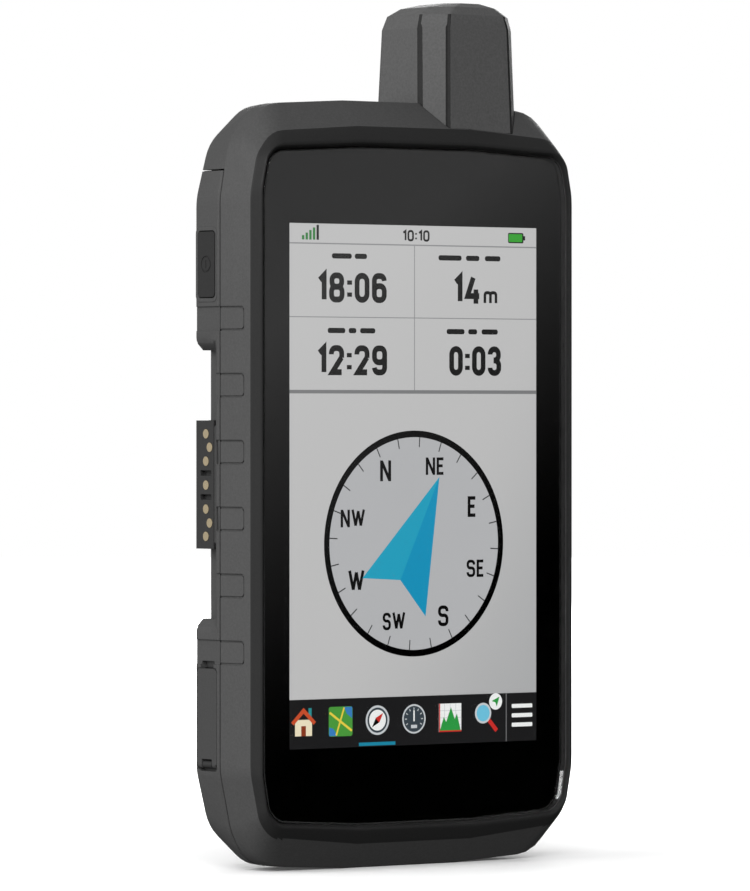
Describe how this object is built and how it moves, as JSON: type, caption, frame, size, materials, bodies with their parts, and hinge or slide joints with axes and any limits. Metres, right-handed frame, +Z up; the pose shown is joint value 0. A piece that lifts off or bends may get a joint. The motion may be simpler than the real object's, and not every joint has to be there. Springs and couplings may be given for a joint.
{
  "type": "handheld satellite navigator",
  "caption": "Rugged handheld satellite navigator with a tall touch screen, stub antenna, side grips, dock contacts, weather caps and a latched battery cover.",
  "frame": {"origin": "middle of the footprint, on the surface that the device stands on", "axes": "+X to the right as seen by someone facing the screen, -Y out of the screen, +Z up towards the antenna"},
  "size_m": [0.0884, 0.0326, 0.183],
  "materials": {
    "housing_plastic": "fine matt texture, moulded PC/ABS",
    "antenna_plastic": "fine grain texture, moulded PC/ABS",
    "cover_glass": "polished, black printed border",
    "black_foam": "black foam tape",
    "display_film": "satin polariser film",
    "light_guide": "white light guide",
    "magnesium_frame": "die cast, satin",
    "flex_film": "amber polyimide",
    "board_laminate": "green solder mask",
    "chip_epoxy": "black moulded epoxy",
    "tinned_steel": "tin plated",
    "ceramic": "off-white moulded core",
    "copper_foil": "bare copper",
    "lead_jacket": "brown coaxial jacket",
    "seal_rubber": "black silicone",
    "brass_insert": "knurled",
    "black_steel": "black zinc",
    "key_rubber": "matt silicone",
    "dock_plastic": "smooth moulded",
    "gold_contact": "pale gold plate",
    "cap_rubber": "matt elastomer",
    "battery_wrap": "black shell",
    "latch_steel": "dark nickel",
    "ring_steel": "polished stainless"
  },
  "bodies": {
    "root": {"front_housing": "housing_plastic", "rear_housing": "housing_plastic", "antenna_cover": "antenna_plastic", "cover_glass": "cover_glass", "glass_gasket": "black_foam", "display_panel": "display_film", "backlight": "light_guide", "display_frame": "magnesium_frame", "display_cable": "flex_film", "main_board": "board_laminate", "board_chips": "chip_epoxy", "shield_can": "tinned_steel", "speaker": "chip_epoxy", "antenna_former": "ceramic", "antenna_helix": "copper_foil", "antenna_cable": "lead_jacket", "housing_gasket": "seal_rubber", "screw_inserts": "brass_insert", "housing_screws": "black_steel", "key_seal": "seal_rubber", "power_switch": "tinned_steel", "contact_block": "dock_plastic", "contact_pins": "gold_contact", "usb_port": "tinned_steel", "usb_cover_anchor": "dock_plastic", "antenna_port": "gold_contact", "antenna_port_pin": "latch_steel", "battery_contacts": "chip_epoxy", "contact_blades": "gold_contact", "latch_inserts": "brass_insert", "card_socket": "tinned_steel", "memory_card": "chip_epoxy", "lanyard_bar": "ring_steel"},
    "power_key": {"power_key": "key_rubber"},
    "usb_cover": {"usb_cover": "cap_rubber"},
    "antenna_port_cover": {"antenna_port_cover": "cap_rubber"},
    "battery_pack": {"battery_pack": "battery_wrap"},
    "battery_cover": {"battery_cover": "housing_plastic", "cover_gasket": "seal_rubber"},
    "latch_upper": {"latch_upper": "latch_steel", "latch_clip_upper": "latch_steel"},
    "latch_lower": {"latch_lower": "latch_steel", "latch_clip_lower": "latch_steel"},
    "d_ring_upper": {"d_ring_upper": "ring_steel"},
    "d_ring_lower": {"d_ring_lower": "ring_steel"}
  },
  "joints": [
    {"name": "power_key_press", "type": "slide", "parent": "root", "child": "power_key", "axis": [1, 0, 0], "range_m": [0, 0.0005], "stiffness_N_per_m": 2000, "springref_m": -0.0005},
    {"name": "usb_cover_hinge", "type": "hinge", "parent": "root", "child": "usb_cover", "pos_m": [-0.0432, -0.00075, 0.0224], "axis": [0, -1, 0], "range_deg": [0, 100]},
    {"name": "antenna_port_cover_hinge", "type": "hinge", "parent": "root", "child": "antenna_port_cover", "pos_m": [0.0155, 0.01545, 0.1273], "axis": [-1, 0, 0], "range_deg": [0, 95]},
    {"name": "battery_cover_lift", "type": "slide", "parent": "root", "child": "battery_cover", "axis": [0, 1, 0], "range_m": [0, 0.045]},
    {"name": "battery_lift", "type": "slide", "parent": "root", "child": "battery_pack", "axis": [0, 1, 0], "range_m": [0, 0.02]},
    {"name": "latch_upper_turn", "type": "hinge", "parent": "battery_cover", "child": "latch_upper", "pos_m": [0, 0.0135, 0.115], "axis": [0, 1, 0], "range_deg": [0, 90]},
    {"name": "latch_lower_turn", "type": "hinge", "parent": "battery_cover", "child": "latch_lower", "pos_m": [0, 0.0135, 0.019], "axis": [0, 1, 0], "range_deg": [0, 90]},
    {"name": "d_ring_upper_fold", "type": "hinge", "parent": "latch_upper", "child": "d_ring_upper", "pos_m": [0, 0.0153, 0.115], "axis": [1, 0, 0], "range_deg": [0, 180]},
    {"name": "d_ring_lower_fold", "type": "hinge", "parent": "latch_lower", "child": "d_ring_lower", "pos_m": [0, 0.0153, 0.019], "axis": [1, 0, 0], "range_deg": [0, 180]}
  ],
  "couplings": [
    {"joint": "battery_lift", "follows": "battery_cover_lift", "ratio": 0.44}
  ]
}
